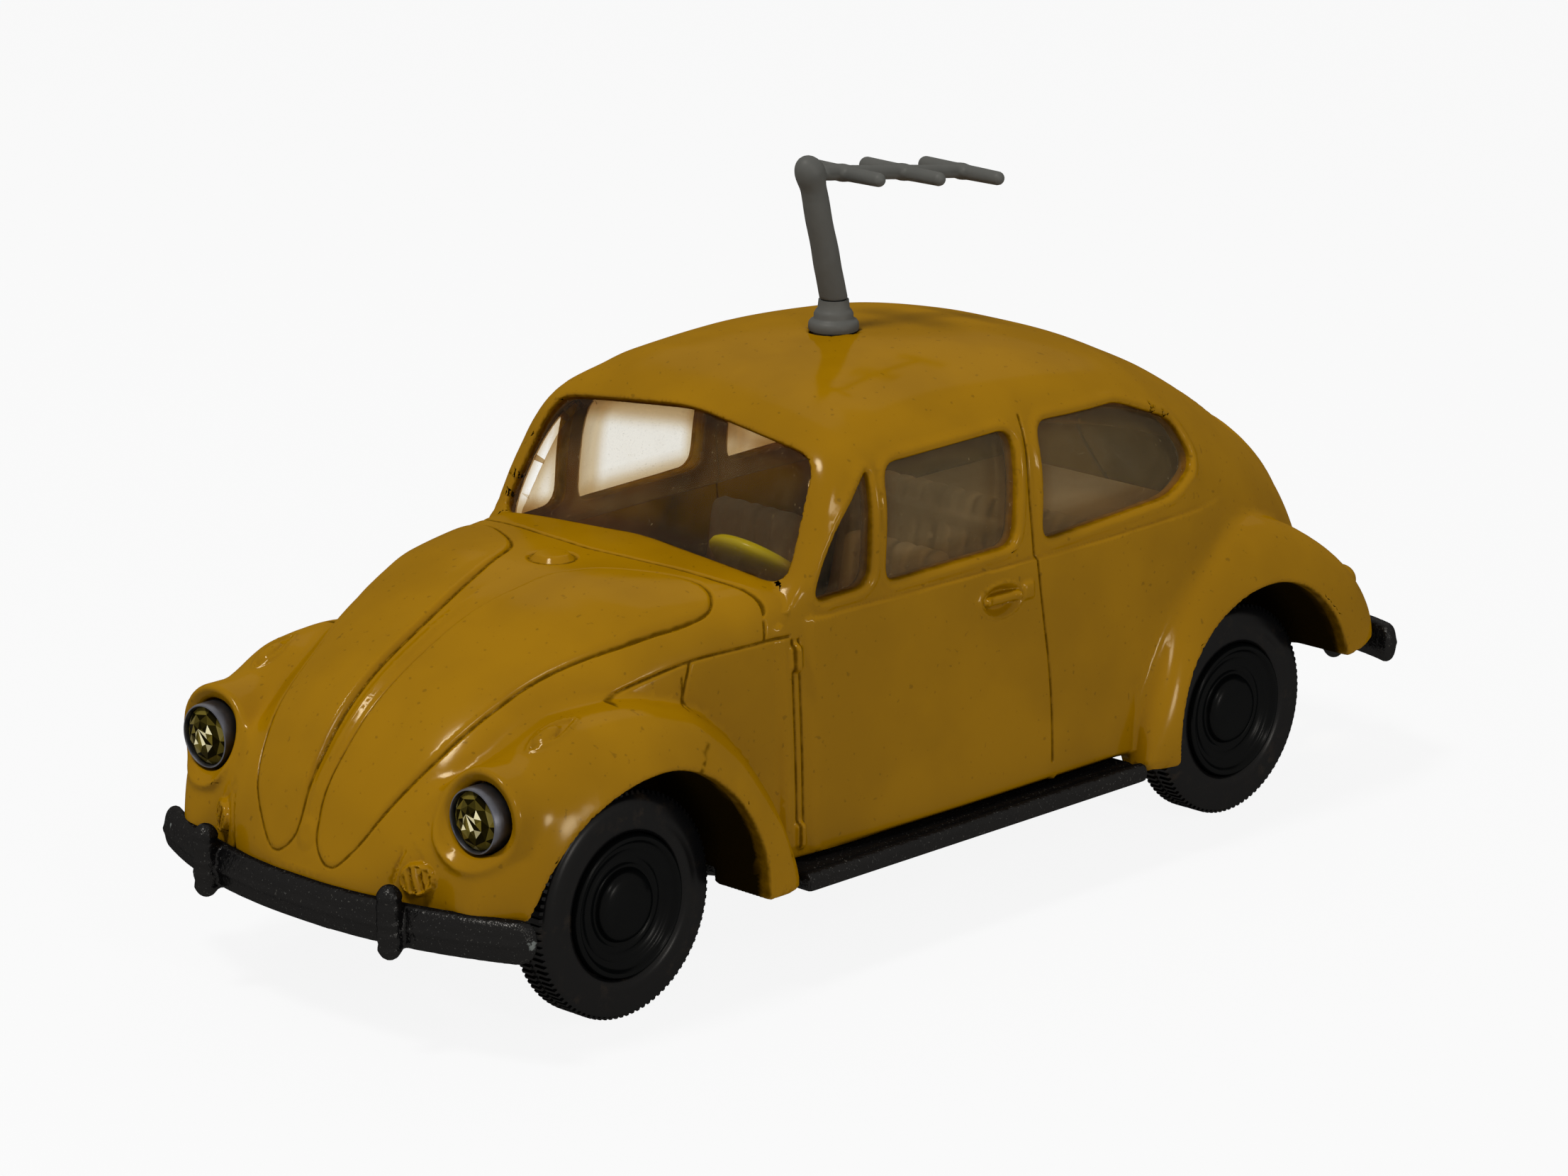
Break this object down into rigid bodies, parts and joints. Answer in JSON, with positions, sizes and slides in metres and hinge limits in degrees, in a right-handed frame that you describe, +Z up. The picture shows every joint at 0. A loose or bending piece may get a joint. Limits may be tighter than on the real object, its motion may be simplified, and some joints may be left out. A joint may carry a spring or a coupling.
{
  "type": "die-cast toy car",
  "caption": "Small die-cast toy saloon with rounded fenders, clear windows, jewel headlamps, free-rolling wheels and a roof aerial that turns on its collar.",
  "frame": {"origin": "on the ground below the middle of the car, halfway between the front and rear overriders", "axes": "+X forward, +Y to the car's left, +Z up"},
  "size_m": [0.09, 0.0346, 0.0472],
  "materials": {
    "ochre_paint": "gloss enamel over a zinc casting",
    "black_paint": "rough black enamel with chipped edges",
    "clear_plastic": "clear moulded plastic",
    "cream_plastic": "satin moulded plastic",
    "olive_plastic": "gloss moulded plastic",
    "gunmetal": "dark satin metal",
    "jewel_glass": "faceted clear jewel with a foiled back",
    "black_plastic": "gloss black plastic",
    "tyre_vinyl": "satin black vinyl with light dust",
    "steel": "plain drawn steel",
    "grey_plastic": "satin grey plastic"
  },
  "bodies": {
    "car": {"body_shell": "ochre_paint", "base_plate": "black_paint", "window_glazing": "clear_plastic", "seat_tray": "cream_plastic", "steering_wheel": "olive_plastic", "headlamp_bezel_left": "gunmetal", "headlamp_bezel_right": "gunmetal", "headlamp_jewel_left": "jewel_glass", "headlamp_jewel_right": "jewel_glass", "front_rivet": "steel", "rear_rivet": "steel", "aerial_collar": "grey_plastic"},
    "front_wheels": {"front_axle": "steel", "front_hub_left": "black_plastic", "front_hub_right": "black_plastic", "front_tyre_left": "tyre_vinyl", "front_tyre_right": "tyre_vinyl"},
    "rear_wheels": {"rear_axle": "steel", "rear_hub_left": "black_plastic", "rear_hub_right": "black_plastic", "rear_tyre_left": "tyre_vinyl", "rear_tyre_right": "tyre_vinyl"},
    "aerial": {"aerial_mast": "grey_plastic", "aerial_array": "grey_plastic"}
  },
  "joints": [
    {"name": "front_wheels_roll", "type": "hinge", "parent": "car", "child": "front_wheels", "pos_m": [0.0293, 0, 0.00715], "axis": [0, 1, 0], "continuous": true},
    {"name": "rear_wheels_roll", "type": "hinge", "parent": "car", "child": "rear_wheels", "pos_m": [-0.0275, 0, 0.00715], "axis": [0, 1, 0], "continuous": true},
    {"name": "aerial_turn", "type": "hinge", "parent": "car", "child": "aerial", "pos_m": [-0.0024, 0, 0.0372], "axis": [0, 0, 1], "continuous": true}
  ]
}
